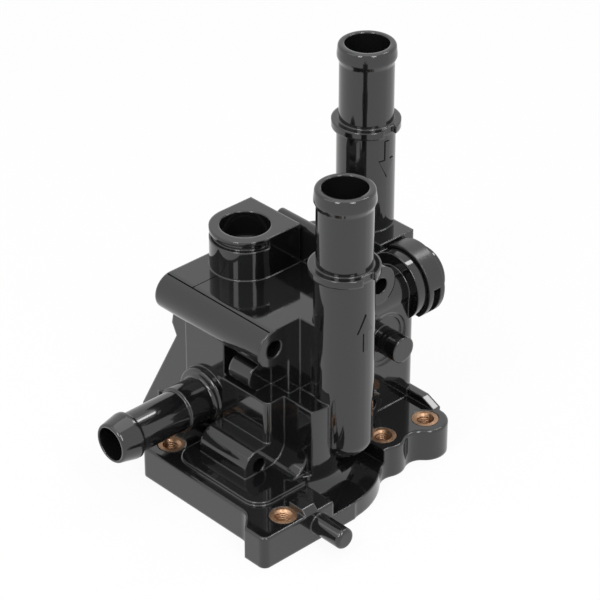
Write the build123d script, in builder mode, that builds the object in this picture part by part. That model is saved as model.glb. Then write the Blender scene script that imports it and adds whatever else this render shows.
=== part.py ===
from build123d import *

import os

os.makedirs("parts", exist_ok=True)

# A moulded coolant housing with its thermostat, in millimetres.
# The origin is the centre of the main port in the mounting face, and +Z points away from the engine.

# Mounting flange
terrace_top = 6.5
pad_top = 12.0
ear_radius = 8.0
flange_blend = 6.0
corner_round = 2.5
edge_round = 0.8
main_rim_radius = 30.0
drum_rim_radius = 29.5
left_edge_x = -11.1
front_edge_y = -62.0
corner_start_x = 41.0
corner_end_x = 46.5
corner_edge_y = -68.0
side_edge_x = 56.0
rear_edge_y = 28.7
rib_thick = 3.3
rib_rise = 2.6
rib_end_setback = 1.5
terrace_front_y = -37.0
terrace_rear_y = -4.0

# Raised plinth in front of the body
plinth_rise = 1.2
plinth_left = 0.6
plinth_right = 42.5
plinth_front_y = -58.4
plinth_round = 6.5

# Brass inserts for M6 screws
insert_radius = 4.65
insert_bore = 2.5
insert_length = 10.0
insert_lead = 0.7
screw_clearance = 3.3
insert_places = {
    "insert_front": (50.0, -54.0),
    "insert_left": (-5.6, -54.0),
    "insert_middle": (39.7, 2.0),
    "insert_right": (42.4, 19.7),
    "insert_rear_left": (-34.0, -27.0),
    "insert_rear": (-31.0, 21.0),
}

# Main port, chamber and second port
seat_level = 18.0
chamber_ledge = 1.5
roof_level = 56.0
drum_x = 26.0
drum_y = -27.0
second_bore = 12.0
second_bore_top = 11.0
second_throat = 6.5
second_throat_top = 34.0
drum_wall = 4.5
drum_foot = 5.0
drum_foot_round = 4.9

# Seal groove in the mounting face
groove_land = 1.8
groove_width = 2.8
groove_depth = 2.6
seal_clearance = 0.1

# Chamber body
body_left = -23.5
body_right = 28.0
body_front = -31.0
body_rear = 31.0
body_corner = 7.0
plate_top = 66.0
shoulder_top = 60.0
ledge_top = 38.5

# Front face of the body
roller_radius = 7.0
roller_y = -37.4
roller_hole = 3.1
panel_y = -37.7
panel_left = -16.2
panel_right = 3.4
panel_lap = 1.0
block_a_y = -40.6
block_a_round = 2.0
block_b_y = -33.0
block_b_x = 39.2
tube_wall_y = -25.8
cove_radius = 8.0
lug_radius = 6.3
lug_y = -44.5
lug_z = 16.0
lug_left = 5.5
lug_hole = 2.7
blind_depth = 12.0
boss_radius = 5.0
boss_z = 43.5
boss_left = 9.5
boss_right = 19.5
web_y = -35.5
web_waist_z = 39.4
web_shoulder_z = 43.8
web_shoulder = 2.2
web_foot_x = -42.9
web_foot_z = 2.3
web_root_x = -34.0

# Hose tubes
tube_outer = 9.5
tube_bore = 7.8
tube_bead = 10.3
tube_collar = 12.0
tube_root = 10.2
collar_thick = 2.7
notch_width = 5.5
notch_depth = 1.6
bead_drop = 4.5
bead_ramp = 2.0
bead_flat = 1.2
mouth_lip = 9.9
mouth_round = 0.9
tube_foot_round = 5.5
tube_arm_inset = 1.0
front_tube_x = 39.0
front_tube_y = -16.4
front_tube_mouth = 116.3
front_collar_z = 88.0
front_tube_foot = 16.0
front_bore_foot = 25.0
rear_tube_x = -4.0
rear_tube_y = 35.1
rear_tube_mouth = 134.0
rear_collar_z = 105.7
rear_tube_foot = 34.0
rear_passage_z = 49.0
rear_passage_bore = 6.5

# Side nipple
nipple_x = -6.0
nipple_z = 24.3
nipple_mouth_y = -80.3
nipple_bore = 6.0
nipple_outer = 7.25
nipple_bead = 8.4
nipple_nose = 7.0
nipple_bead_start = 6.8
nipple_bead_end = 8.0
nipple_bead_foot = 9.0
nipple_shoulder_y = -51.0
nipple_arm = 8.15
nipple_root_ring = 11.0
nipple_root_round = 1.2

# Sensor collar and the bar behind it
sensor_x = -10.3
sensor_y = -15.2
sensor_radius = 12.3
sensor_back_y = -1.3
sensor_top = 81.0
sensor_bore = 8.75
sensor_throat = 7.0
sensor_ring_groove = 0.45
sensor_ledge_z = 70.0
sensor_foot = 46.0
clip_groove_z = 77.0
clip_groove_height = 2.5
clip_groove_depth = 1.5
bar_front_y = -0.6
bar_thick = 5.0
bar_top = 79.0
bar_left = -11.0
bar_right = 24.0

# Rear block and quick-connect port
block_left = -19.0
block_right = 13.0
block_front_y = 26.0
block_rear_y = 42.0
block_foot = 42.0
port_x = 20.1
port_z = 53.2
port_barrel = 8.1
port_bore = 6.2
port_ring = 12.4
port_ring_y = 25.3
port_ring_thick = 4.1
port_neck = 9.4
port_length = 11.0
port_chamfer = 0.8
port_inner_y = 2.0
port_bore_y = 4.0

# O-rings
ring_wire = 0.8
ring_play = 0.05
port_ring_groove = 1.3
port_ring_setback = 3.0

# Lock ring on the quick-connect port
lock_radius = 13.6
lock_gap = 3.9
lock_length = 1.9
lock_clearance = 0.1
lock_shell_gap = 0.2
lock_shell_wall = 1.4
lock_shell_drop = 10.5
lock_bar = 2.0
lock_window_drop = 9.3
lock_window_rise = 1.5
lock_block_gap = 0.3

# Details of the right wall
peg_y = 13.8
peg_z = 40.0
peg_radius = 4.75
peg_length = 9.0
peg_ring = 10.0
peg_ring_inner = 8.5
peg_step = 0.6
eye_y = 11.4
eye_z = 62.5
eye_radius = 7.0
eye_hole = 3.0
eye_left = 15.0
low_eye_y = 6.3
low_eye_z = 17.2
low_eye_radius = 5.0
low_eye_hole = 2.4
low_eye_rise = 1.5
low_eye_depth = 1.0
pin_y = -43.5
pin_z = 6.8
pin_radius = 3.7
pin_length = 12.8
pin_tip_round = 1.2
gusset_right = 54.0
gusset_left = 48.0
gusset_front_y = -49.5
gusset_rear_y = -44.0
gusset_rise = 2.0

# Thermostat
seat_inset = 1.0
vent_lane = 3.2
seat_thick = 1.4
seat_top = 16.4
valve_opening = 13.0
facing_gap = 0.2
facing_radius = 14.2
facing_width = 2.7
facing_thick = 1.2
disc_rim = 0.3
disc_thick = 1.4
seat_seal_foot = 13.8
seat_grip = 1.6
capsule_radius = 5.5
capsule_foot = 12.0
capsule_top = 26.0
capsule_collar = 7.0
capsule_collar_thick = 1.8
capsule_neck = 3.4
capsule_neck_foot = 9.5
stem_radius = 3.5
stem_top = 46.0
stem_play = 0.08
piston_radius = 1.9
piston_foot = 4.0
piston_top = 22.0
piston_play = 0.08
piston_tip_round = 0.4
piston_end_gap = 1.0
strap_top = 43.4
strap_thick = 1.4
strap_half_width = 4.0
strap_play = 0.15
dome_clearance = 0.8
dome_half_width = 3.5
dome_foot = 3.0
dome_hub_radius = 4.0
dome_hub_height = 5.0
dome_knee = 7.0
dome_taper = 1.0
spring_radius = 9.6
spring_wire = 1.0
spring_turns = 3.5
spring_end_gap = 0.1
vent_pin = 0.7
vent_hole = 0.9
vent_head = 1.2
vent_head_thick = 0.8
vent_play = 0.3
vent_side_gap = 0.6

# Values that follow from the ones above
roller_z = plate_top - roller_radius
boss_y = body_front - boss_radius
drum_radius = second_bore + drum_wall
plinth_top = pad_top + plinth_rise
right_ear = insert_places["insert_right"]
left_ear = insert_places["insert_rear_left"]
ear_places = [place for name, place in insert_places.items() if name != "insert_front"]
port_mouth_y = body_rear + port_length
lock_plate_y = body_rear + lock_gap
lock_shell_y = port_ring_y + port_ring_thick + lock_shell_gap
facing_inner = facing_radius - facing_width
disc_radius = facing_radius + disc_rim
seat_seal_inner = facing_radius + vent_lane
seat_radius = seat_seal_inner + seat_grip
main_bore = seat_radius + seat_inset
chamber_bore = main_bore - chamber_ledge
dome_half_span = seat_seal_inner - dome_clearance
vent_y = facing_radius + vent_head + vent_side_gap
disc_foot = seat_top + facing_gap + facing_thick
disc_top = disc_foot + disc_thick
strap_foot = strap_top - strap_thick
strap_half_span = ((seat_seal_inner - strap_play) ** 2 - strap_half_width**2) ** 0.5
seat_foot = seat_top - seat_thick


def front_plane(y):
    """The plane at this Y that faces -Y, with its sketch axes along X and Z."""
    return Plane.XZ.offset(-y)


def side_plane(x):
    """The plane at this X that faces +X, with its sketch axes along Y and Z."""
    return Plane.YZ.offset(x)


def hose_tube(x, y, foot, mouth, collar_z):
    """A hose tube turned about its axis: rounded foot, root, notched collar, tube and bead."""
    with BuildPart() as tube:
        with BuildSketch(front_plane(y)) as profile:
            with BuildLine():
                Polyline(
                    (x, foot),
                    (x + tube_root, foot),
                    (x + tube_root, collar_z - collar_thick),
                    (x + tube_collar, collar_z - collar_thick),
                    (x + tube_collar, collar_z),
                    (x + tube_outer, collar_z),
                    (x + tube_outer, mouth - bead_drop - bead_ramp),
                    (x + tube_bead, mouth - bead_drop),
                    (x + tube_bead, mouth - bead_drop + bead_flat),
                    (x + mouth_lip, mouth),
                    (x, mouth),
                    close=True,
                )
            make_face()
            fillet(profile.vertices().group_by(Axis.Y)[0].sort_by(Axis.X)[-1], tube_foot_round)
            fillet(profile.vertices().group_by(Axis.Y)[-1].sort_by(Axis.X)[-1], mouth_round)
        revolve(axis=Axis((x, y, 0), (0, 0, 1)))
        with BuildSketch(Plane.XY.offset(collar_z - collar_thick)):
            with Locations((x + tube_collar, y)):
                Rectangle(2 * notch_depth, notch_width)
        extrude(amount=collar_thick, mode=Mode.SUBTRACT)
    return tube.part


front_tube = hose_tube(front_tube_x, front_tube_y, front_tube_foot, front_tube_mouth, front_collar_z)
rear_tube = hose_tube(rear_tube_x, rear_tube_y, rear_tube_foot, rear_tube_mouth, rear_collar_z)

# Side nipple: nose, bead, tube, thicker arm and root ring, turned about its axis
with BuildPart() as nipple:
    with BuildSketch(side_plane(nipple_x)) as nipple_profile:
        with BuildLine():
            Polyline(
                (nipple_mouth_y, nipple_z),
                (nipple_mouth_y, nipple_z + nipple_nose),
                (nipple_mouth_y + nipple_bead_start, nipple_z + nipple_bead),
                (nipple_mouth_y + nipple_bead_end, nipple_z + nipple_bead),
                (nipple_mouth_y + nipple_bead_foot, nipple_z + nipple_outer),
                (nipple_shoulder_y, nipple_z + nipple_outer),
                (nipple_shoulder_y, nipple_z + nipple_arm),
                (block_a_y, nipple_z + nipple_arm),
                (block_a_y, nipple_z + nipple_root_ring),
                (body_front, nipple_z + nipple_root_ring),
                (body_front, nipple_z),
                close=True,
            )
        make_face()
        fillet(nipple_profile.vertices().group_by(Axis.X)[0].sort_by(Axis.Y)[-1], mouth_round)
        root_corners = nipple_profile.vertices().filter_by_position(Axis.X, block_a_y, block_a_y)
        fillet(root_corners, nipple_root_round)
    revolve(axis=Axis((nipple_x, 0, nipple_z), (0, 1, 0)))

# Quick-connect port: barrel along the shoulder, ring at its root and neck for the lock ring
with BuildPart() as port:
    with BuildSketch(side_plane(port_x)) as port_profile:
        with BuildLine():
            Polyline(
                (port_inner_y, port_z),
                (port_inner_y, port_z + port_barrel),
                (port_ring_y, port_z + port_barrel),
                (port_ring_y, port_z + port_ring),
                (port_ring_y + port_ring_thick, port_z + port_ring),
                (port_ring_y + port_ring_thick, port_z + port_neck),
                (port_mouth_y, port_z + port_neck),
                (port_mouth_y, port_z),
                close=True,
            )
        make_face()
        chamfer(port_profile.vertices().group_by(Axis.X)[-1].sort_by(Axis.Y)[-1], port_chamfer)
    revolve(axis=Axis((port_x, 0, port_z), (0, 1, 0)))

# Locating pin on the side of the front pad, round at its tip
with BuildPart() as locating_pin:
    with BuildSketch(side_plane(side_edge_x - pin_radius)):
        with Locations((pin_y, pin_z)):
            Circle(pin_radius)
    extrude(amount=pin_length + pin_radius)
    fillet(locating_pin.edges().group_by(Axis.X)[-1], pin_tip_round)

with BuildPart() as housing:
    # Mounting flange at full height, with one ear round each insert
    with BuildSketch(Plane.XY) as flange_outline:
        Circle(main_rim_radius)
        with Locations((drum_x, drum_y)):
            Circle(drum_rim_radius)
        with Locations(*ear_places):
            Circle(ear_radius)
        with BuildLine():
            Polyline(
                (left_edge_x, front_edge_y),
                (corner_start_x, front_edge_y),
                (corner_end_x, corner_edge_y),
                (side_edge_x, corner_edge_y),
                (side_edge_x, drum_y),
                (drum_x, drum_y),
                left_ear,
                (web_root_x, web_y),
                close=True,
            )
        make_face()
        with BuildLine():
            Polyline(
                (0, 0),
                (body_right - body_corner, rear_edge_y - rib_thick / 2),
                (right_ear[0], rear_edge_y - rib_thick),
                right_ear,
                close=True,
            )
        make_face()
        offset(amount=flange_blend)
        offset(amount=-flange_blend)
        fillet(flange_outline.vertices().sort_by_distance((left_edge_x, front_edge_y))[0], corner_round)
        fillet(flange_outline.vertices().sort_by_distance((side_edge_x, corner_edge_y))[0], corner_round)
    extrude(amount=pad_top)
    fillet(housing.edges().group_by(Axis.Z)[-1], edge_round)

    # Low terrace round the drum, between the front pad and the rear pad
    with BuildSketch(Plane.XY.offset(terrace_top)):
        with BuildLine():
            Polyline(
                (body_right, terrace_front_y),
                (side_edge_x + drum_rim_radius, terrace_front_y),
                (side_edge_x + drum_rim_radius, terrace_rear_y),
                (body_right, terrace_rear_y),
                close=True,
            )
        make_face()
    extrude(amount=pad_top, mode=Mode.SUBTRACT)

    # Plinth, a shallow raised step in front of the body
    with BuildSketch(Plane.XY) as plinth_plan:
        with BuildLine():
            Polyline(
                (plinth_left, body_front),
                (plinth_left, plinth_front_y),
                (plinth_right, plinth_front_y),
                (plinth_right, terrace_front_y),
                (body_right, body_front),
                close=True,
            )
        make_face()
        fillet(plinth_plan.vertices().group_by(Axis.Y)[0], plinth_round)
    extrude(amount=plinth_top)

    # Rib along the rear edge, running down to the right ear
    with BuildSketch(front_plane(rear_edge_y)):
        with BuildLine():
            Polyline(
                (body_right - body_corner, 0),
                (body_right - body_corner, pad_top + rib_rise),
                (body_right + body_corner, pad_top + rib_rise),
                (right_ear[0] - rib_end_setback, pad_top),
                (right_ear[0] - rib_end_setback, 0),
                close=True,
            )
        make_face()
    extrude(amount=rib_thick)

    # Drum over the second port: its flared foot, and the wall that the front block cuts flat
    with BuildSketch(front_plane(drum_y)) as drum_profile:
        with BuildLine():
            Polyline(
                (drum_x, 0),
                (drum_x + drum_radius + drum_foot, 0),
                (drum_x + drum_radius + drum_foot, terrace_top),
                (drum_x + drum_radius, terrace_top),
                (drum_x + drum_radius, plinth_top),
                (drum_x, plinth_top),
                close=True,
            )
        make_face()
        drum_corner = drum_profile.vertices().sort_by_distance((drum_x + drum_radius, terrace_top))[0]
        fillet(drum_corner, drum_foot_round)
    revolve(axis=Axis((drum_x, drum_y, 0), (0, 0, 1)))
    with BuildSketch(Plane.XY.offset(plinth_top)):
        with Locations((drum_x, drum_y)):
            Circle(drum_radius)
        with Locations((drum_x, block_b_y + drum_radius)):
            Rectangle(3 * drum_radius, 2 * drum_radius, mode=Mode.INTERSECT)
    extrude(amount=ledge_top - plinth_top)

    # Chamber body: main block and shoulder
    with BuildSketch(Plane.XY) as body_plan:
        with Locations(((body_left + body_right) / 2, (body_front + body_rear) / 2)):
            Rectangle(body_right - body_left, body_rear - body_front)
        fillet(body_plan.vertices().group_by(Axis.Y)[-1], body_corner)
    extrude(amount=port_z)
    with BuildSketch(Plane.XY.offset(port_z)) as shoulder_plan:
        with Locations(((body_left + port_x) / 2, (body_front + body_rear) / 2)):
            Rectangle(port_x - body_left, body_rear - body_front)
        fillet(shoulder_plan.vertices().group_by(Axis.Y)[-1].sort_by(Axis.X)[0], body_corner)
    extrude(amount=shoulder_top - port_z)

    # Top plate from the front edge back to the bar, with its arm out to the front hose tube
    with BuildSketch(Plane.XY.offset(ledge_top)):
        with BuildLine():
            Polyline(
                (body_left, body_front),
                (body_right, body_front),
                (body_right, tube_wall_y),
                (front_tube_x, tube_wall_y),
                (front_tube_x, front_tube_y + tube_root - tube_arm_inset),
                (body_right, front_tube_y + tube_root - tube_arm_inset),
                (body_right, bar_front_y + bar_thick),
                (body_left, bar_front_y + bar_thick),
                close=True,
            )
        make_face()
    extrude(amount=plate_top - ledge_top)

    # Roller: the round front edge of the top plate, with the solid nose behind it
    with BuildSketch(side_plane(body_left)):
        with Locations((roller_y, roller_z)):
            Circle(roller_radius)
        with BuildLine():
            Polyline(
                (roller_y, plate_top),
                (body_front, plate_top),
                (body_front, roller_z - roller_radius),
                (roller_y, roller_z - roller_radius),
                close=True,
            )
        make_face()
    extrude(amount=body_right - body_left)

    # Lower front wall: ledge block, long lug and the step between them
    with BuildSketch(side_plane(lug_left)) as lug_profile:
        with BuildLine():
            Polyline(
                (body_front, 0),
                (body_front, ledge_top),
                (block_a_y, ledge_top),
                (block_a_y, lug_z + lug_radius),
                (lug_y, lug_z + lug_radius),
                (lug_y, lug_z),
                (lug_y - lug_radius, lug_z),
                (lug_y - lug_radius, 0),
                close=True,
            )
        make_face()
        with Locations((lug_y, lug_z)):
            Circle(lug_radius)
    extrude(amount=body_right - lug_left)
    block_corner = (body_right, block_a_y, (lug_z + lug_radius + ledge_top) / 2)
    fillet(housing.edges().sort_by_distance(block_corner)[0], block_a_round)

    # Block beside the drum, with the cove that runs forward from its foot
    with BuildSketch(side_plane(body_right)):
        with BuildLine():
            Polyline(
                (drum_y, pad_top),
                (drum_y, ledge_top),
                (block_b_y, ledge_top),
                (block_b_y, plinth_top + cove_radius),
            )
            RadiusArc(
                (block_b_y, plinth_top + cove_radius),
                (block_b_y - cove_radius, plinth_top),
                cove_radius,
            )
            Polyline(
                (block_b_y - cove_radius, plinth_top),
                (block_b_y - cove_radius, pad_top),
                (drum_y, pad_top),
            )
        make_face()
    extrude(amount=block_b_x - body_right)

    # Boss on the ledge
    with BuildSketch(side_plane(boss_left)):
        with Locations((boss_y, boss_z)):
            Circle(boss_radius)
        with Locations(((boss_y + body_front) / 2, boss_z)):
            Rectangle(boss_radius, 2 * boss_radius)
    extrude(amount=boss_right - boss_left)

    # Panel under the roller, down to the flange beside the ledge block
    with BuildSketch(front_plane(body_front)):
        with BuildLine():
            Polyline(
                (panel_left, terrace_top),
                (lug_left + panel_lap, terrace_top),
                (lug_left + panel_lap, ledge_top - panel_lap),
                (panel_right, ledge_top - panel_lap),
                (panel_right, roller_z),
                (panel_left, roller_z),
                close=True,
            )
        make_face()
    extrude(amount=body_front - panel_y)

    # Triangular web from the left end of the roller down to the flange
    with BuildSketch(front_plane(body_front)):
        with BuildLine():
            Polyline(
                (panel_left, 0),
                (web_foot_x, 0),
                (web_foot_x, web_foot_z),
                (body_left, web_waist_z),
                (body_left - web_shoulder, web_shoulder_z),
                (body_left, roller_z - roller_radius / 2),
                (panel_left, roller_z),
                close=True,
            )
        make_face()
    extrude(amount=body_front - web_y)

    # Rear block under the rear hose tube
    with BuildSketch(Plane.XY.offset(block_foot)):
        with Locations(((block_left + block_right) / 2, (block_front_y + block_rear_y) / 2)):
            Rectangle(block_right - block_left, block_rear_y - block_front_y)
    extrude(amount=plate_top - block_foot)

    # Sensor collar, D-shaped, with its clip groove across the front
    with BuildSketch(Plane.XY.offset(shoulder_top)):
        with Locations((sensor_x, sensor_y)):
            Circle(sensor_radius)
        with Locations((sensor_x, (sensor_y + sensor_back_y) / 2)):
            Rectangle(2 * sensor_radius, sensor_back_y - sensor_y)
    extrude(amount=sensor_top - shoulder_top)
    with BuildSketch(Plane.XY.offset(clip_groove_z)):
        with Locations((sensor_x, sensor_y - sensor_radius)):
            Rectangle(2 * sensor_radius, 2 * sensor_radius)
        with Locations((sensor_x, sensor_y)):
            Circle(sensor_radius - clip_groove_depth, mode=Mode.SUBTRACT)
    extrude(amount=clip_groove_height, mode=Mode.SUBTRACT)

    # Bar behind the sensor collar, round along its top
    with BuildSketch(side_plane(bar_left)):
        with Locations((bar_front_y + bar_thick / 2, (shoulder_top + bar_top) / 2)):
            SlotOverall(bar_top - shoulder_top + bar_thick / 2, bar_thick, rotation=90)
    extrude(amount=bar_right - bar_left)

    # Eye over the barrel, low eye by the flange, peg in its stepped recess, and the gusset over the pin
    with BuildSketch(side_plane(eye_left)):
        with Locations((eye_y, eye_z)):
            Circle(eye_radius)
    extrude(amount=body_right - eye_left)
    with BuildSketch(side_plane(body_right - low_eye_depth)):
        with Locations((low_eye_y, low_eye_z)):
            Circle(low_eye_radius)
    extrude(amount=low_eye_depth + low_eye_rise)
    with BuildSketch(side_plane(body_right - low_eye_depth)):
        with Locations((low_eye_y, low_eye_z)):
            Circle(low_eye_hole)
    extrude(amount=low_eye_depth + low_eye_rise, mode=Mode.SUBTRACT)
    with BuildSketch(side_plane(body_right - 2 * peg_step)):
        with Locations((peg_y, peg_z)):
            Circle(peg_ring_inner)
    extrude(amount=2 * peg_step, mode=Mode.SUBTRACT)
    with BuildSketch(side_plane(body_right - peg_step)):
        with Locations((peg_y, peg_z)):
            Circle(peg_ring)
    extrude(amount=peg_step, mode=Mode.SUBTRACT)
    with BuildSketch(side_plane(body_right - 2 * peg_step)):
        with Locations((peg_y, peg_z)):
            Circle(peg_radius)
    extrude(amount=peg_length + 2 * peg_step)
    with BuildSketch(front_plane(gusset_rear_y)):
        with BuildLine():
            Polyline(
                (gusset_left, terrace_top),
                (gusset_left, pad_top + gusset_rise),
                (gusset_right, pad_top + gusset_rise),
                (side_edge_x, pad_top),
                (side_edge_x, terrace_top),
                close=True,
            )
        make_face()
    extrude(amount=gusset_rear_y - gusset_front_y)

    add(locating_pin.part)
    add(front_tube)
    add(rear_tube)
    add(nipple.part)
    add(port.part)

    # Main port, chamber and second port
    with BuildSketch(Plane.XY):
        Circle(main_bore)
    extrude(amount=seat_level, mode=Mode.SUBTRACT)
    with BuildSketch(Plane.XY.offset(seat_level)):
        Circle(chamber_bore)
    extrude(amount=roof_level - seat_level, mode=Mode.SUBTRACT)
    with BuildSketch(Plane.XY):
        with Locations((drum_x, drum_y)):
            Circle(second_bore)
    extrude(amount=second_bore_top, mode=Mode.SUBTRACT)
    with BuildSketch(Plane.XY.offset(second_bore_top)):
        with Locations(((drum_x + front_tube_x) / 2, (drum_y + front_tube_y) / 2)):
            Circle(second_throat)
    extrude(amount=second_throat_top - second_bore_top, mode=Mode.SUBTRACT)

    # Hose tube bores, and the passage from the rear tube into the chamber
    with BuildSketch(Plane.XY.offset(front_bore_foot)):
        with Locations((front_tube_x, front_tube_y)):
            Circle(tube_bore)
    extrude(amount=front_tube_mouth - front_bore_foot, mode=Mode.SUBTRACT)
    with BuildSketch(Plane.XY.offset(rear_passage_z)):
        with Locations((rear_tube_x, rear_tube_y)):
            Circle(tube_bore)
    extrude(amount=rear_tube_mouth - rear_passage_z, mode=Mode.SUBTRACT)
    with BuildSketch(front_plane(rear_tube_y + tube_bore)):
        with Locations((rear_tube_x, rear_passage_z)):
            Circle(rear_passage_bore)
    extrude(amount=rear_tube_y + tube_bore, mode=Mode.SUBTRACT)

    # Nipple and quick-connect bores, both open to the chamber
    with BuildSketch(front_plane(0)):
        with Locations((nipple_x, nipple_z)):
            Circle(nipple_bore)
    extrude(amount=-nipple_mouth_y, mode=Mode.SUBTRACT)
    with BuildSketch(front_plane(port_mouth_y)):
        with Locations((port_x, port_z)):
            Circle(port_bore)
    extrude(amount=port_mouth_y - port_bore_y, mode=Mode.SUBTRACT)
    with BuildSketch(front_plane(port_mouth_y - port_ring_setback)):
        with Locations((port_x, port_z)):
            Circle(port_bore + port_ring_groove)
    extrude(amount=2 * ring_wire + 2 * ring_play, mode=Mode.SUBTRACT)

    # Sensor bore, stepped, open to the chamber
    with BuildSketch(Plane.XY.offset(sensor_ledge_z)):
        with Locations((sensor_x, sensor_y)):
            Circle(sensor_bore)
    extrude(amount=sensor_top - sensor_ledge_z, mode=Mode.SUBTRACT)
    with BuildSketch(Plane.XY.offset(sensor_ledge_z)):
        with Locations((sensor_x, sensor_y)):
            Circle(sensor_bore + sensor_ring_groove)
    extrude(amount=2 * ring_wire + 2 * ring_play, mode=Mode.SUBTRACT)
    with BuildSketch(Plane.XY.offset(sensor_foot)):
        with Locations((sensor_x, sensor_y)):
            Circle(sensor_throat)
    extrude(amount=sensor_ledge_z - sensor_foot, mode=Mode.SUBTRACT)

    # Blind holes in the roller, the lug and the eye
    for y, z, radius in (
        (roller_y, roller_z, roller_hole),
        (lug_y, lug_z, lug_hole),
        (eye_y, eye_z, eye_hole),
    ):
        with BuildSketch(side_plane(body_right - blind_depth)):
            with Locations((y, z)):
                Circle(radius)
        extrude(amount=blind_depth, mode=Mode.SUBTRACT)

    # Pockets for the inserts, and the holes through which the screws reach them from below
    with BuildSketch(Plane.XY.offset(pad_top - insert_length)):
        with Locations(*insert_places.values()):
            Circle(insert_radius)
    extrude(amount=insert_length + plinth_rise, mode=Mode.SUBTRACT)
    with BuildSketch(Plane.XY):
        with Locations(*insert_places.values()):
            Circle(screw_clearance)
    extrude(amount=pad_top - insert_length, mode=Mode.SUBTRACT)

    # Two-loop seal groove in the mounting face
    with BuildSketch(Plane.XY) as groove:
        Circle(main_bore + groove_land + groove_width)
        Circle(main_bore + groove_land, mode=Mode.SUBTRACT)
        with BuildSketch(mode=Mode.PRIVATE) as second_loop:
            Circle(second_bore + groove_land + groove_width)
            Circle(second_bore + groove_land, mode=Mode.SUBTRACT)
        with Locations((drum_x, drum_y)):
            add(second_loop.sketch)
    extrude(amount=groove_depth, mode=Mode.SUBTRACT)
housing.part.label = "housing"
export_step(housing.part, "parts/housing.step")

# Seal in the two-loop groove, flush with the mounting face
with BuildPart() as base_seal:
    with BuildSketch(Plane.XY) as seal_plan:
        Circle(main_bore + groove_land + groove_width - seal_clearance)
        Circle(main_bore + groove_land + seal_clearance, mode=Mode.SUBTRACT)
        with BuildSketch(mode=Mode.PRIVATE) as second_seal_loop:
            Circle(second_bore + groove_land + groove_width - seal_clearance)
            Circle(second_bore + groove_land + seal_clearance, mode=Mode.SUBTRACT)
        with Locations((drum_x, drum_y)):
            add(second_seal_loop.sketch)
    extrude(amount=groove_depth)
base_seal.part.label = "base_seal"
export_step(base_seal.part, "parts/base_seal.step")


def insert(name, x, y):
    """A threaded brass sleeve with its lead-in chamfers, its top flush with the pad."""
    foot = pad_top - insert_length
    with BuildPart() as sleeve:
        with BuildSketch(front_plane(y)):
            with BuildLine():
                Polyline(
                    (x + insert_bore, foot),
                    (x + insert_radius - insert_lead, foot),
                    (x + insert_radius, foot + insert_lead),
                    (x + insert_radius, pad_top),
                    (x + insert_bore + insert_lead, pad_top),
                    (x + insert_bore, pad_top - insert_lead),
                    close=True,
                )
            make_face()
        revolve(axis=Axis((x, y, 0), (0, 0, 1)))
    sleeve.part.label = name
    export_step(sleeve.part, "parts/" + name + ".step")


for insert_name, (insert_x, insert_y) in insert_places.items():
    insert(insert_name, insert_x, insert_y)


def o_ring(name, plane, radius):
    """A rubber ring of this mean radius, centred on the plane."""
    with BuildPart() as ring:
        with BuildSketch(plane.rotated((90, 0, 0))):
            with Locations((radius, 0)):
                RegularPolygon(ring_wire, 8, major_radius=False, rotation=22.5)
        revolve(axis=Axis(plane.origin, plane.z_dir))
    ring.part.label = name
    export_step(ring.part, "parts/" + name + ".step")


o_ring(
    "port_ring",
    front_plane(port_mouth_y - port_ring_setback - ring_wire - ring_play).shift_origin(
        (port_x, port_mouth_y - port_ring_setback - ring_wire - ring_play, port_z)
    ),
    port_bore + port_ring_groove - ring_wire - ring_play,
)
o_ring(
    "sensor_ring",
    Plane.XY.offset(sensor_ledge_z + ring_wire + ring_play).shift_origin(
        (sensor_x, sensor_y, sensor_ledge_z + ring_wire + ring_play)
    ),
    sensor_bore + sensor_ring_groove - ring_wire - ring_play,
)

# Lock ring round the neck of the quick-connect port: its plate, and a shell with a window over the neck
with BuildPart() as lock_ring:
    with BuildSketch(front_plane(lock_plate_y)):
        with Locations((port_x, port_z)):
            Circle(lock_radius)
            Circle(lock_radius - lock_shell_wall, mode=Mode.SUBTRACT)
        with Locations((port_x, port_z - lock_shell_drop + lock_radius)):
            Rectangle(2 * lock_radius, 2 * lock_radius, mode=Mode.INTERSECT)
        with Locations((port_x - lock_radius, port_z - lock_radius)):
            Rectangle(2 * lock_radius, 2 * lock_radius, mode=Mode.SUBTRACT)
    extrude(amount=lock_plate_y - lock_shell_y)
    with BuildSketch(side_plane(port_x)):
        with BuildLine():
            Polyline(
                (lock_shell_y + lock_bar, port_z - lock_window_drop),
                (lock_shell_y + lock_bar, port_z + lock_window_rise),
                (lock_plate_y, port_z + lock_window_rise),
                (lock_plate_y, port_z - lock_window_drop),
                close=True,
            )
        make_face()
    extrude(amount=2 * lock_radius, mode=Mode.SUBTRACT)
    with BuildSketch(front_plane(lock_plate_y + lock_length)):
        with Locations((port_x, port_z)):
            Circle(lock_radius)
            Circle(port_neck + lock_clearance, mode=Mode.SUBTRACT)
    extrude(amount=lock_length)
    with BuildSketch(Plane.XY.offset(port_z - lock_radius)):
        with Locations((block_right + lock_block_gap - lock_radius, lock_plate_y)):
            Rectangle(2 * lock_radius, 2 * lock_radius)
    extrude(amount=2 * lock_radius, mode=Mode.SUBTRACT)
lock_ring.part.label = "lock_ring"
export_step(lock_ring.part, "parts/lock_ring.step")

# Seat plate of the thermostat, with the valve opening and the vent hole
with BuildPart() as seat_plate:
    with BuildSketch(Plane.XY.offset(seat_foot)):
        Circle(seat_radius)
        Circle(valve_opening, mode=Mode.SUBTRACT)
        with Locations((0, vent_y)):
            Circle(vent_hole, mode=Mode.SUBTRACT)
    extrude(amount=seat_thick)
seat_plate.part.label = "seat_plate"
export_step(seat_plate.part, "parts/seat_plate.step")

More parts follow.
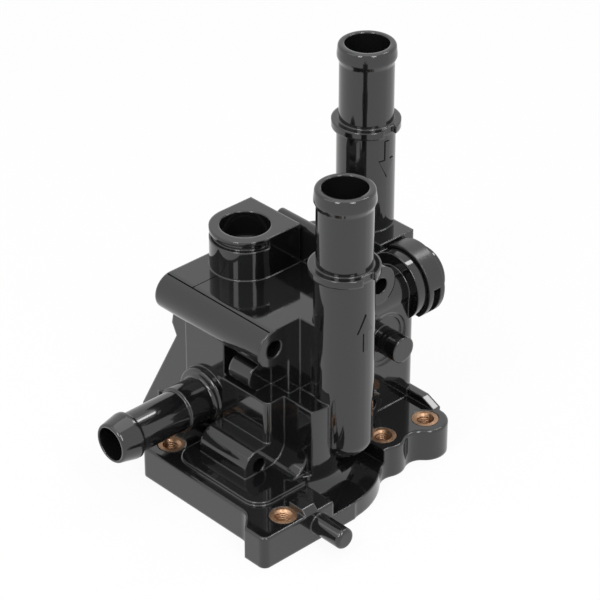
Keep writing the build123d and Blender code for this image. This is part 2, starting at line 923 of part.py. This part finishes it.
# Rubber ring round the edge of the seat plate, against the shoulder of the main port
with BuildPart() as seat_seal:
    with BuildSketch(Plane.XY.offset(seat_seal_foot)):
        Circle(main_bore)
        Circle(seat_seal_inner, mode=Mode.SUBTRACT)
    extrude(amount=seat_level - seat_seal_foot)
    with BuildSketch(Plane.XY.offset(seat_foot)):
        Circle(seat_radius)
    extrude(amount=seat_thick, mode=Mode.SUBTRACT)
seat_seal.part.label = "seat_seal"
export_step(seat_seal.part, "parts/seat_seal.step")

# Lower bridge: a bent strap under the seat plate, with the hub that holds the piston
with BuildPart() as lower_bridge:
    with BuildSketch(front_plane(dome_half_width)):
        with BuildLine():
            Polyline(
                (-dome_half_span, seat_foot),
                (-dome_half_span, seat_foot - strap_thick),
                (-dome_knee, dome_foot),
                (dome_knee, dome_foot),
                (dome_half_span, seat_foot - strap_thick),
                (dome_half_span, seat_foot),
                (valve_opening + dome_taper, seat_foot),
                (dome_knee - dome_taper, dome_foot + strap_thick),
                (dome_taper - dome_knee, dome_foot + strap_thick),
                (-valve_opening - dome_taper, seat_foot),
                close=True,
            )
        make_face()
    extrude(amount=2 * dome_half_width)
    with BuildSketch(Plane.XY.offset(dome_foot)):
        Circle(dome_hub_radius)
    extrude(amount=dome_hub_height)
    with BuildSketch(Plane.XY.offset(piston_foot)):
        Circle(piston_radius)
    extrude(amount=dome_hub_height, mode=Mode.SUBTRACT)
lower_bridge.part.label = "lower_bridge"
export_step(lower_bridge.part, "parts/lower_bridge.step")

# Upper bridge: two legs and the strap that the spring pushes against
with BuildPart() as upper_bridge:
    with BuildSketch(front_plane(strap_half_width)):
        with BuildLine():
            Polyline(
                (-strap_half_span, seat_top),
                (-strap_half_span, strap_top),
                (strap_half_span, strap_top),
                (strap_half_span, seat_top),
                (strap_half_span - strap_thick, seat_top),
                (strap_half_span - strap_thick, strap_foot),
                (strap_thick - strap_half_span, strap_foot),
                (strap_thick - strap_half_span, seat_top),
                close=True,
            )
        make_face()
    extrude(amount=2 * strap_half_width)
    with BuildSketch(Plane.XY.offset(strap_foot)):
        Circle(spring_radius + 2 * spring_wire)
    extrude(amount=strap_thick)
    with BuildSketch(Plane.XY.offset(strap_foot)):
        Circle(stem_radius + stem_play)
    extrude(amount=strap_thick, mode=Mode.SUBTRACT)
upper_bridge.part.label = "upper_bridge"
export_step(upper_bridge.part, "parts/upper_bridge.step")

# Piston, fixed in the lower bridge
with BuildPart() as piston:
    with BuildSketch(Plane.XY.offset(piston_foot)):
        Circle(piston_radius)
    extrude(amount=piston_top - piston_foot)
    fillet(piston.edges().group_by(Axis.Z)[-1], piston_tip_round)
piston.part.label = "piston"
export_step(piston.part, "parts/piston.step")

# Wax capsule: neck round the piston, body, collar over the valve disc and guide stem
with BuildPart() as wax_capsule:
    with BuildSketch(front_plane(0)) as capsule_profile:
        with BuildLine():
            Polyline(
                (piston_radius + piston_play, capsule_neck_foot),
                (capsule_neck, capsule_neck_foot),
                (capsule_neck, capsule_foot),
                (capsule_radius, capsule_foot),
                (capsule_radius, disc_top),
                (capsule_collar, disc_top),
                (capsule_collar, disc_top + capsule_collar_thick),
                (capsule_radius, disc_top + capsule_collar_thick),
                (capsule_radius, capsule_top),
                (stem_radius, capsule_top),
                (stem_radius, stem_top),
                (0, stem_top),
                (0, piston_top + piston_end_gap),
                (piston_radius + piston_play, piston_top + piston_end_gap),
                close=True,
            )
        make_face()
    revolve(axis=Axis.Z)
wax_capsule.part.label = "wax_capsule"
export_step(wax_capsule.part, "parts/wax_capsule.step")

# Main valve disc and its rubber facing
with BuildPart() as valve_disc:
    with BuildSketch(Plane.XY.offset(disc_foot)):
        Circle(disc_radius)
        Circle(capsule_radius, mode=Mode.SUBTRACT)
    extrude(amount=disc_thick)
valve_disc.part.label = "valve_disc"
export_step(valve_disc.part, "parts/valve_disc.step")

with BuildPart() as valve_facing:
    with BuildSketch(Plane.XY.offset(disc_foot - facing_thick)):
        Circle(facing_radius)
        Circle(facing_inner, mode=Mode.SUBTRACT)
    extrude(amount=facing_thick)
valve_facing.part.label = "valve_facing"
export_step(valve_facing.part, "parts/valve_facing.step")

# Main spring between the valve disc and the upper bridge
spring_foot = disc_top + spring_wire + spring_end_gap
spring_height = strap_foot - spring_wire - spring_end_gap - spring_foot
with BuildPart() as main_spring:
    with BuildLine():
        Helix(
            pitch=spring_height / spring_turns,
            height=spring_height,
            radius=spring_radius,
            center=(0, 0, spring_foot),
        )
    with BuildSketch(Plane(origin=(spring_radius, 0, spring_foot), z_dir=(0, 1, 0))):
        RegularPolygon(spring_wire, 6)
    sweep(is_frenet=True)
main_spring.part.label = "main_spring"
export_step(main_spring.part, "parts/main_spring.step")

# Vent pin, loose in its hole in the seat plate
with BuildPart() as vent_pin_piece:
    with BuildSketch(Plane.XY.offset(seat_foot - vent_play - vent_head_thick)):
        with Locations((0, vent_y)):
            Circle(vent_head)
    extrude(amount=vent_head_thick)
    with BuildSketch(Plane.XY.offset(seat_foot - vent_play)):
        with Locations((0, vent_y)):
            Circle(vent_pin)
    extrude(amount=seat_thick + vent_play)
    with BuildSketch(Plane.XY.offset(seat_top)):
        with Locations((0, vent_y)):
            Circle(vent_head)
    extrude(amount=vent_head_thick)
vent_pin_piece.part.label = "vent_pin"
export_step(vent_pin_piece.part, "parts/vent_pin.step")
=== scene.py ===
import math

import bmesh
import bpy
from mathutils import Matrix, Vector


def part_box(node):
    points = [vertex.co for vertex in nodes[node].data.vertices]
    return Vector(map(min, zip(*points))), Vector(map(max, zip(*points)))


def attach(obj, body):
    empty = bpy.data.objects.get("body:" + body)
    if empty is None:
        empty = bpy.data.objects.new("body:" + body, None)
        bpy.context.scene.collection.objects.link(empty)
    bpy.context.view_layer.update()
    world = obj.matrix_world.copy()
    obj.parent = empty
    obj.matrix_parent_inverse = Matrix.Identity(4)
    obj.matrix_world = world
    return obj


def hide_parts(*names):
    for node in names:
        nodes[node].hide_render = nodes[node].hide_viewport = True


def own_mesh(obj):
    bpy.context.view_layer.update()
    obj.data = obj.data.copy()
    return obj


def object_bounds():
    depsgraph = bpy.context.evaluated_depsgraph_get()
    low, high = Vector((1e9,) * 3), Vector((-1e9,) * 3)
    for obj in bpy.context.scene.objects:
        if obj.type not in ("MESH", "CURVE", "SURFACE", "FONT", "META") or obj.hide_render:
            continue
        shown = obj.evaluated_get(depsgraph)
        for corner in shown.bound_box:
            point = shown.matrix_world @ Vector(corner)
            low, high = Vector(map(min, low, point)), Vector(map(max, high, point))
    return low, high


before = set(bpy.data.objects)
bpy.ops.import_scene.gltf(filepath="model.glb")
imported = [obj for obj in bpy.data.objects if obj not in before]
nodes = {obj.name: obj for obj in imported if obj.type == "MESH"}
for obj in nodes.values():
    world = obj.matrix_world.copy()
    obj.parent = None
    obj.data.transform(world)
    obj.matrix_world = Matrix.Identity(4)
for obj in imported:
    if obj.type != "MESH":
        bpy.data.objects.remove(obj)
cad_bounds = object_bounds()


# Housing: one injection moulding in black glass-filled polyamide, which holds every port.
# The mould leaves it glossy, a little wavy where the plastic cooled, and soft along its edges; the
# edges also get a painted highlight, with some wear.

class Finish:
    """A socket among a material's nodes, which can be used in sums."""

    def __init__(self, tree, socket=None):
        self.tree = tree
        self.socket = socket

    def node(self, kind, settings, sockets, output=0):
        """Adds a node: its settings first, then the values and links of its sockets."""
        made = self.tree.nodes.new(kind)
        for name, value in settings.items():
            setattr(made, name, value)
        for name, value in sockets.items():
            if isinstance(value, Finish):
                self.tree.links.new(value.socket, made.inputs[name])
            else:
                made.inputs[name].default_value = value
        return None if output is None else Finish(self.tree, made.outputs[output])

    def reckon(self, operation, first, second):
        """One sum of two values or sockets."""
        return self.node("ShaderNodeMath", {"operation": operation}, {0: first, 1: second})

    def __add__(self, other):
        return self.reckon("ADD", self, other)

    def __radd__(self, other):
        return self.reckon("ADD", other, self)

    def __rsub__(self, other):
        return self.reckon("SUBTRACT", other, self)

    def __mul__(self, other):
        return self.reckon("MULTIPLY", self, other)


def new_finish(name):
    """An empty material, and the Finish that adds nodes to it."""
    made = bpy.data.materials.new(name)
    made.use_nodes = True
    made.node_tree.nodes.clear()
    return made, Finish(made.node_tree)


def wear(piece, material):
    """Gives a piece one material all over."""
    piece.data.materials.clear()
    piece.data.materials.append(material)


def noise(finish, place, scale, detail, roughness=0.5):
    """Noise over a piece, coarse or fine by its scale."""
    return finish.node(
        "ShaderNodeTexNoise",
        {},
        {"Vector": place, "Scale": scale, "Detail": detail, "Roughness": roughness},
    )


def bumps(finish, strength, distance, height, **sockets):
    """A normal that a height tilts."""
    named = {"Strength": strength, "Distance": distance, "Height": height, **sockets}
    return finish.node("ShaderNodeBump", {}, named)


def show(finish, **sockets):
    """Ends a material in a Principled shader with these sockets."""
    named = {name.replace("_", " "): value for name, value in sockets.items()}
    shader = finish.node("ShaderNodeBsdfPrincipled", {}, named)
    finish.node("ShaderNodeOutputMaterial", {}, {"Surface": shader}, None)


plastic_black = (0.0072, 0.0073, 0.0079, 1.0)
# Lighter grey for the edges: a painted highlight where edges catch the light, with some wear.
plastic_edge_sheen_and_wear = (0.035, 0.035, 0.036, 1.0)
plastic_roughness = 0.03
plastic_index = 1.66
edge_softness = 0.0010


def moulded_plastic(name, roughness, softness=edge_softness):
    """Glossy black plastic: slow waves, a fine skin, softened edges, and a painted highlight along
    the edges with some wear.
    """
    material, finish = new_finish(name)
    place = finish.node("ShaderNodeTexCoord", {}, {}, "Object")
    soft_normal = finish.node("ShaderNodeBevel", {"samples": 8}, {"Radius": softness})
    true_normal = finish.node("ShaderNodeNewGeometry", {}, {}, "Normal")
    facing = finish.node(
        "ShaderNodeVectorMath",
        {"operation": "DOT_PRODUCT"},
        {0: soft_normal, 1: true_normal},
        "Value",
    )
    edge_sheen_and_wear = finish.node(
        "ShaderNodeMapRange", {}, {"Value": 1 - facing, "From Min": 0.02, "From Max": 0.3}
    )
    waves = noise(finish, place, scale=70.0, detail=2.0, roughness=0.4)
    skin = noise(finish, place, scale=1900.0, detail=3.0, roughness=0.6)
    flow = noise(finish, place, scale=240.0, detail=5.0, roughness=0.62)
    height = waves * 0.1 + skin * 0.006 + flow * 0.01
    normal = bumps(finish, strength=0.55, distance=0.0006, height=height, Normal=soft_normal)
    # The colour lightens along every edge, varied by the flow noise: a painted highlight, with some
    # wear.
    colour = finish.node(
        "ShaderNodeMix",
        {"data_type": "RGBA"},
        {"Factor": edge_sheen_and_wear * flow, 6: plastic_black, 7: plastic_edge_sheen_and_wear},
        2,
    )
    show(
        finish,
        Base_Color=colour,
        Roughness=roughness + flow * 0.06,
        IOR=plastic_index,
        Normal=normal,
    )
    return material


housing_plastic = moulded_plastic("housing_plastic", plastic_roughness)
wear(nodes["housing"], housing_plastic)


# Flow arrows: raised marks that the mould leaves on both hose tubes, one up and one down.
# Each is part of the moulding, wrapped round the tube's wall.
tube_wall = 0.0102
arrow_rise = 0.0004
arrow_sink = 0.0002
arrow_half_head = 0.0033
arrow_half_shaft = 0.00095
arrow_head = 0.0068
arrow_cuts = 4
arrow_crease = math.radians(40)
arrow_softness = 0.0001
arrow_plastic = moulded_plastic("arrow_plastic", plastic_roughness, arrow_softness)


def put(name, data):
    """An object in the scene from its data."""
    made = bpy.data.objects.new(name, data)
    bpy.context.scene.collection.objects.link(made)
    return made


def new_piece(name, mesh):
    """An object in the scene from a finished mesh."""
    data = bpy.data.meshes.new(name)
    mesh.to_mesh(data)
    mesh.free()
    return put(name, data)


def flow_arrow(name, axis, tail_z, tip_z):
    """A raised arrow on the +X side of a tube, from its tail to its tip."""
    way = 1 if tip_z > tail_z else -1
    neck_z = tip_z - way * arrow_head
    outline = (
        (-arrow_half_shaft, tail_z),
        (arrow_half_shaft, tail_z),
        (arrow_half_shaft, neck_z),
        (arrow_half_head, neck_z),
        (0.0, tip_z),
        (-arrow_half_head, neck_z),
        (-arrow_half_shaft, neck_z),
    )
    mesh = bmesh.new()
    flat = mesh.faces.new([mesh.verts.new((0.0, across, z)) for across, z in outline])
    flat.normal_update()
    bmesh.ops.triangulate(mesh, faces=[flat])
    bmesh.ops.subdivide_edges(mesh, edges=mesh.edges[:], cuts=arrow_cuts, use_grid_fill=True)
    raised = bmesh.ops.extrude_face_region(mesh, geom=mesh.faces[:])
    for corner in [part for part in raised["geom"] if isinstance(part, bmesh.types.BMVert)]:
        corner.co.x = arrow_rise + arrow_sink
    for corner in mesh.verts:
        reach = tube_wall - arrow_sink + corner.co.x
        turn = corner.co.y / tube_wall
        corner.co.x = axis[0] + reach * math.cos(turn)
        corner.co.y = axis[1] + reach * math.sin(turn)
    bmesh.ops.recalc_face_normals(mesh, faces=mesh.faces[:])
    piece = new_piece(name, mesh)
    piece.data.shade_smooth()
    piece.data.set_sharp_from_angle(angle=arrow_crease)
    wear(piece, arrow_plastic)
    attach(piece, "base")


flow_arrow("flow_arrow_front", axis=(0.039, -0.0164), tail_z=0.0590, tip_z=0.0731)
flow_arrow("flow_arrow_rear", axis=(-0.004, 0.0351), tail_z=0.1006, tip_z=0.0866)


# Joint lines: fine steps that the mould's slides leave on the top plate, one behind the roller
# and one from it to the sensor collar. Each is drawn as a thin near-black strip on the plate: a
# painted shadow of the step.

def blend(finish, factor, *stops):
    """A colour that follows a factor between two stops, each a position and a colour."""
    ramp = finish.node("ShaderNodeValToRGB", {}, {"Fac": factor})
    for element, (position, colour) in zip(ramp.socket.node.color_ramp.elements, stops):
        element.position = position
        element.color = colour
    return ramp


def join_rings(mesh, before, ring):
    """Faces from one ring of corners to the next. The first ring is closed by a face."""
    if before is None:
        mesh.faces.new(ring)
        return
    for corner in range(len(ring)):
        after = (corner + 1) % len(ring)
        mesh.faces.new((before[corner], before[after], ring[after], ring[corner]))


joint_shadow, shadow = new_finish("joint_shadow")
shadow_place = shadow.node("ShaderNodeTexCoord", {}, {}, "Object")
shadow_depth = noise(shadow, shadow_place, scale=900.0, detail=3.0)
shadow_colour = blend(
    shadow, shadow_depth, (0.3, (0.001, 0.001, 0.001, 1.0)), (0.8, (0.006, 0.006, 0.006, 1.0))
)
show(shadow, Base_Color=shadow_colour, Roughness=0.6 + shadow_depth * 0.3, IOR=1.1)
plate_top = 0.066
line_half_width = 0.00012
line_rise = 0.00005
for line_name, line_start, line_end in (
    ("joint_line_roller", (-0.0232, -0.0390), (0.0277, -0.0390)),
    ("joint_line_collar", (-0.0105, -0.0390), (-0.0105, -0.0277)),
):
    mesh = bmesh.new()
    run = Vector(line_end) - Vector(line_start)
    side = Vector((-run.y, run.x)).normalized() * line_half_width
    ring = [
        Vector(end) + side * way
        for end, way in ((line_start, 1), (line_start, -1), (line_end, -1), (line_end, 1))
    ]
    low = [mesh.verts.new((spot.x, spot.y, plate_top - line_rise)) for spot in ring]
    high = [mesh.verts.new((spot.x, spot.y, plate_top + line_rise)) for spot in ring]
    mesh.faces.new(high)
    mesh.faces.new(low[::-1])
    join_rings(mesh, low, high)
    bmesh.ops.recalc_face_normals(mesh, faces=mesh.faces[:])
    line = new_piece(line_name, mesh)
    wear(line, joint_shadow)
    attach(line, "base")


# Lock ring: a separate clip in the same plastic, snapped on the neck of the quick-connect port.
# It comes from a smaller mould, so its skin is a little duller.
ring_roughness = 0.26
wear(nodes["lock_ring"], moulded_plastic("lock_ring_plastic", ring_roughness))


# Threaded inserts: turned brass sleeves, pressed hot into the flange. Their faces show the turning
# marks, and a fine thread is cut through each one.
brass_bright = (0.47, 0.29, 0.178, 1.0)
brass_dull = (0.36, 0.212, 0.128, 1.0)
lathe_rings = 210.0


def turned_brass(name):
    """Brass with the rings of the lathe round each piece's own axis, and stains in them."""
    material, finish = new_finish(name)
    inside = finish.node("ShaderNodeTexCoord", {}, {}, "Generated")
    place = finish.node("ShaderNodeTexCoord", {}, {}, "Object")
    centred = finish.node(
        "ShaderNodeVectorMath", {"operation": "SUBTRACT"}, {0: inside, 1: (0.5, 0.5, 0.5)}
    )
    level = finish.node(
        "ShaderNodeVectorMath", {"operation": "MULTIPLY"}, {0: centred, 1: (1.0, 1.0, 0.0)}
    )
    out = finish.node("ShaderNodeVectorMath", {"operation": "LENGTH"}, {0: level}, "Value")
    rings = finish.node("ShaderNodeMath", {"operation": "SINE"}, {0: out * lathe_rings})
    stain = noise(finish, place, scale=420.0, detail=4.0, roughness=0.6)
    scratch = noise(finish, place, scale=2600.0, detail=2.0)
    colour = blend(finish, stain, (0.32, brass_dull), (0.58, brass_bright))
    normal = bumps(finish, strength=0.5, distance=0.00006, height=rings * 0.5 + scratch * 0.6)
    show(finish, Base_Color=colour, Metallic=1.0, Roughness=0.26 + stain * 0.2, Normal=normal)
    return material


insert_brass = turned_brass("insert_brass")
thread_pitch = 0.0008
thread_depth = 0.00028
thread_root = 0.00005
thread_skin = 0.00001
thread_half_foot = 0.44
thread_half_crest = 0.07
thread_ends = 1.6
thread_steps = 28
insert_bore = 0.0025


for insert_name in (
    "insert_front",
    "insert_left",
    "insert_middle",
    "insert_right",
    "insert_rear_left",
    "insert_rear",
):
    wear(nodes[insert_name], insert_brass)
    low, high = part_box(insert_name)
    centre = (low + high) / 2
    foot = low.z + thread_pitch
    count = int((high.z - low.z - thread_ends * thread_pitch) / thread_pitch * thread_steps)
    mesh = bmesh.new()
    before = None
    for step in range(count + 1):
        turn = 2 * math.pi * step / thread_steps
        z = foot + thread_pitch * step / thread_steps
        fade = min(1.0, step / thread_steps, (count - step) / thread_steps)
        crest = thread_depth * fade + thread_skin
        across, along = math.cos(turn), math.sin(turn)
        rim = [
            mesh.verts.new((centre.x + reach * across, centre.y + reach * along, z + rise))
            for reach, rise in (
                (insert_bore + thread_root, -thread_half_foot * thread_pitch),
                (insert_bore - crest, -thread_half_crest * thread_pitch),
                (insert_bore - crest, thread_half_crest * thread_pitch),
                (insert_bore + thread_root, thread_half_foot * thread_pitch),
            )
        ]
        join_rings(mesh, before, rim)
        before = rim
    mesh.faces.new(before[::-1])
    bmesh.ops.recalc_face_normals(mesh, faces=mesh.faces[:])
    thread = new_piece(insert_name.replace("insert", "thread"), mesh)
    wear(thread, insert_brass)
    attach(thread, "base")


# Seals: pressed rubber rings in the mounting face, the two ports and round the seat plate,
# with the valve's own facing. They are dull, with a powdery bloom.
rubber_black, rubber = new_finish("seal_rubber")
rubber_place = rubber.node("ShaderNodeTexCoord", {}, {}, "Object")
rubber_skin = noise(rubber, rubber_place, scale=1500.0, detail=4.0)
rubber_bloom = noise(rubber, rubber_place, scale=160.0, detail=5.0)
rubber_colour = blend(
    rubber, rubber_bloom, (0.3, (0.016, 0.016, 0.017, 1.0)), (0.75, (0.045, 0.044, 0.043, 1.0))
)
rubber_normal = bumps(rubber, strength=0.5, distance=0.00008, height=rubber_skin)
show(rubber, Base_Color=rubber_colour, Roughness=0.52 + rubber_bloom * 0.25, Normal=rubber_normal)
for seal_name in ("base_seal", "port_ring", "sensor_ring", "seat_seal", "valve_facing"):
    wear(nodes[seal_name], rubber_black)


# Thermostat frame: seat plate, two bridges and valve disc pressed from stainless sheet, with the
# piston in the same steel. The rolled sheet keeps its grain, and the press leaves light stains.
rolled_stretch = (12.0, 1.0, 12.0)
pressed_steel, steel = new_finish("pressed_steel")
steel_place = steel.node("ShaderNodeTexCoord", {}, {}, "Object")
steel_drawn = steel.node(
    "ShaderNodeMapping", {"vector_type": "TEXTURE"}, {"Vector": steel_place, "Scale": rolled_stretch}
)
steel_grain = noise(steel, steel_drawn, scale=5200.0, detail=3.0)
steel_stain = noise(steel, steel_place, scale=130.0, detail=4.0)
steel_colour = blend(
    steel, steel_stain, (0.3, (0.46, 0.45, 0.43, 1.0)), (0.7, (0.66, 0.65, 0.63, 1.0))
)
steel_normal = bumps(steel, strength=0.35, distance=0.00005, height=steel_grain)
show(
    steel,
    Base_Color=steel_colour,
    Metallic=1.0,
    Roughness=0.22 + steel_stain * 0.16 + steel_grain * 0.06,
    Normal=steel_normal,
)
for steel_name in ("seat_plate", "lower_bridge", "upper_bridge", "piston", "valve_disc"):
    wear(nodes[steel_name], pressed_steel)


# Wax capsule and vent pin: turned from brass bar, in the same finish as the inserts.
capsule_brass = turned_brass("capsule_brass")
for brass_name in ("wax_capsule", "vent_pin"):
    wear(nodes[brass_name], capsule_brass)


# Main spring: round steel wire wound on a mandrel, its end turns closed against the disc and the
# strap. The real spring shortens as the valve opens; this coil is built at one length on the base.
spring_low, spring_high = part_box("main_spring")
wire_radius = 0.00098
coil_radius = (spring_high.x - spring_low.x) / 2 - wire_radius
spring_sides = 12
spring_steps = 40
spring_turns = 5.5
closed_turns = 0.8
closed_gap = 2.1

spring_foot = spring_low.z + wire_radius
spring_rise = spring_high.z - spring_low.z - 2 * wire_radius
closed_rise = closed_gap * wire_radius
open_turns = spring_turns - 2 * closed_turns
open_rise = spring_rise - 2 * closed_rise * closed_turns
spring_mesh = bmesh.new()
before = None
for step in range(int(spring_turns * spring_steps) + 1):
    turns = step / spring_steps
    if turns < closed_turns:
        z = spring_foot + closed_rise * turns
    elif turns < closed_turns + open_turns:
        share = (turns - closed_turns) / open_turns
        z = spring_foot + closed_rise * closed_turns + share * open_rise
    else:
        z = spring_foot + spring_rise - closed_rise * (spring_turns - turns)
    turn = 2 * math.pi * turns
    rim = []
    for side in range(spring_sides):
        lean = 2 * math.pi * side / spring_sides
        reach = coil_radius + wire_radius * math.cos(lean)
        rim.append(
            spring_mesh.verts.new(
                (reach * math.cos(turn), reach * math.sin(turn), z + wire_radius * math.sin(lean))
            )
        )
    join_rings(spring_mesh, before, rim)
    before = rim
spring_mesh.faces.new(before[::-1])
bmesh.ops.recalc_face_normals(spring_mesh, faces=spring_mesh.faces[:])
valve_spring = new_piece("valve_spring", spring_mesh)
valve_spring.data.shade_smooth()

spring_steel, wire = new_finish("spring_steel")
wire_place = wire.node("ShaderNodeTexCoord", {}, {}, "Object")
wire_stain = noise(wire, wire_place, scale=300.0, detail=4.0)
wire_die = noise(wire, wire_place, scale=3500.0, detail=2.0)
wire_colour = blend(
    wire, wire_stain, (0.3, (0.36, 0.35, 0.34, 1.0)), (0.7, (0.58, 0.57, 0.56, 1.0))
)
wire_normal = bumps(wire, strength=0.3, distance=0.00004, height=wire_die)
show(
    wire,
    Base_Color=wire_colour,
    Metallic=1.0,
    Roughness=0.24 + wire_stain * 0.18,
    Normal=wire_normal,
)
wear(valve_spring, spring_steel)
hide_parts("main_spring")
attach(valve_spring, "base")
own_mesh(valve_spring)


# Camera: the photograph's own view, from the right front and above.
camera_place = Vector((0.5870, -0.5503, 0.5520))
camera_azimuth = math.radians(46.8246)
camera_elevation = math.radians(32.001)
photo_width = 600
focal_pixels = 2767.6
camera_data = bpy.data.cameras.new("camera")
camera_data.sensor_width = 36.0
camera_data.lens = focal_pixels / photo_width * camera_data.sensor_width
camera_data.clip_start = 0.01
camera = put("camera", camera_data)
camera.location = camera_place
sight = Vector(
    (
        -math.sin(camera_azimuth) * math.cos(camera_elevation),
        math.cos(camera_azimuth) * math.cos(camera_elevation),
        -math.sin(camera_elevation),
    )
)
camera.rotation_euler = sight.to_track_quat("-Z", "Y").to_euler()
bpy.context.scene.camera = camera


# Floor and light: a white sweep under two soft boxes, two tall strips and a small box behind. The
# camera and the gloss see it white, and the floor keeps the shadow.
floor_reach = 3.0
floor_level = -0.0002
floor_glow = 0.92
sky_glow = 0.45
pure_white = (1.0, 1.0, 1.0, 1.0)
paper_white = (0.86, 0.86, 0.86, 1.0)
floor_mesh = bmesh.new()
floor_mesh.faces.new(
    [
        floor_mesh.verts.new((x * floor_reach, y * floor_reach, floor_level))
        for x, y in ((-1, -1), (1, -1), (1, 1), (-1, 1))
    ]
)
floor = new_piece("floor", floor_mesh)


def seen_rays(finish):
    """1 for the rays that the camera, the gloss or clear plastic sends, and 0 for the light's own."""
    return (
        finish.node("ShaderNodeLightPath", {}, {}, "Is Camera Ray")
        + finish.node("ShaderNodeLightPath", {}, {}, "Is Glossy Ray")
        + finish.node("ShaderNodeLightPath", {}, {}, "Is Transmission Ray")
    )


sweep, paper = new_finish("white_sweep")
paper_skin = paper.node(
    "ShaderNodeBsdfPrincipled", {}, {"Base Color": paper_white, "Roughness": 0.8}
)
paper_glow = paper.node("ShaderNodeEmission", {}, {"Color": pure_white, "Strength": 1.0})
paper_look = paper.node(
    "ShaderNodeMixShader", {}, {0: seen_rays(paper) * floor_glow, 1: paper_skin, 2: paper_glow}
)
paper.node("ShaderNodeOutputMaterial", {}, {"Surface": paper_look}, None)
wear(floor, sweep)

world = bpy.data.worlds.new("studio")
bpy.context.scene.world = world
world.use_nodes = True
world.node_tree.nodes.clear()
studio = Finish(world.node_tree)
sky_white = studio.node("ShaderNodeBackground", {}, {"Color": pure_white, "Strength": 1.0})
sky_soft = studio.node("ShaderNodeBackground", {}, {"Color": pure_white, "Strength": sky_glow})
sky = studio.node("ShaderNodeMixShader", {}, {0: seen_rays(studio), 1: sky_soft, 2: sky_white})
studio.node("ShaderNodeOutputWorld", {}, {"Surface": sky}, None)

aim = (cad_bounds[0] + cad_bounds[1]) / 2
for lamp_name, lamp_place, lamp_width, lamp_height, lamp_power in (
    ("key_box", (-0.35, -0.75, 0.95), 0.7, 0.7, 1.6),
    ("top_box", (-0.1, 0.2, 1.2), 0.9, 0.9, 2.6),
    ("left_strip", (0.22, -0.77, 0.80), 0.24, 0.6, 3.8),
    ("right_strip", (0.77, -0.18, 0.80), 0.24, 0.6, 3.8),
    ("back_box", (0.09, 0.68, 1.03), 0.2, 0.3, 1.5),
):
    lamp_data = bpy.data.lights.new(lamp_name, "AREA")
    lamp_data.shape = "RECTANGLE"
    lamp_data.size = lamp_width
    lamp_data.size_y = lamp_height
    lamp_data.energy = lamp_power
    lamp = put(lamp_name, lamp_data)
    lamp.location = lamp_place
    lamp.rotation_euler = (aim - Vector(lamp_place)).to_track_quat("-Z", "Y").to_euler()

bpy.context.scene.view_settings.view_transform = "Standard"
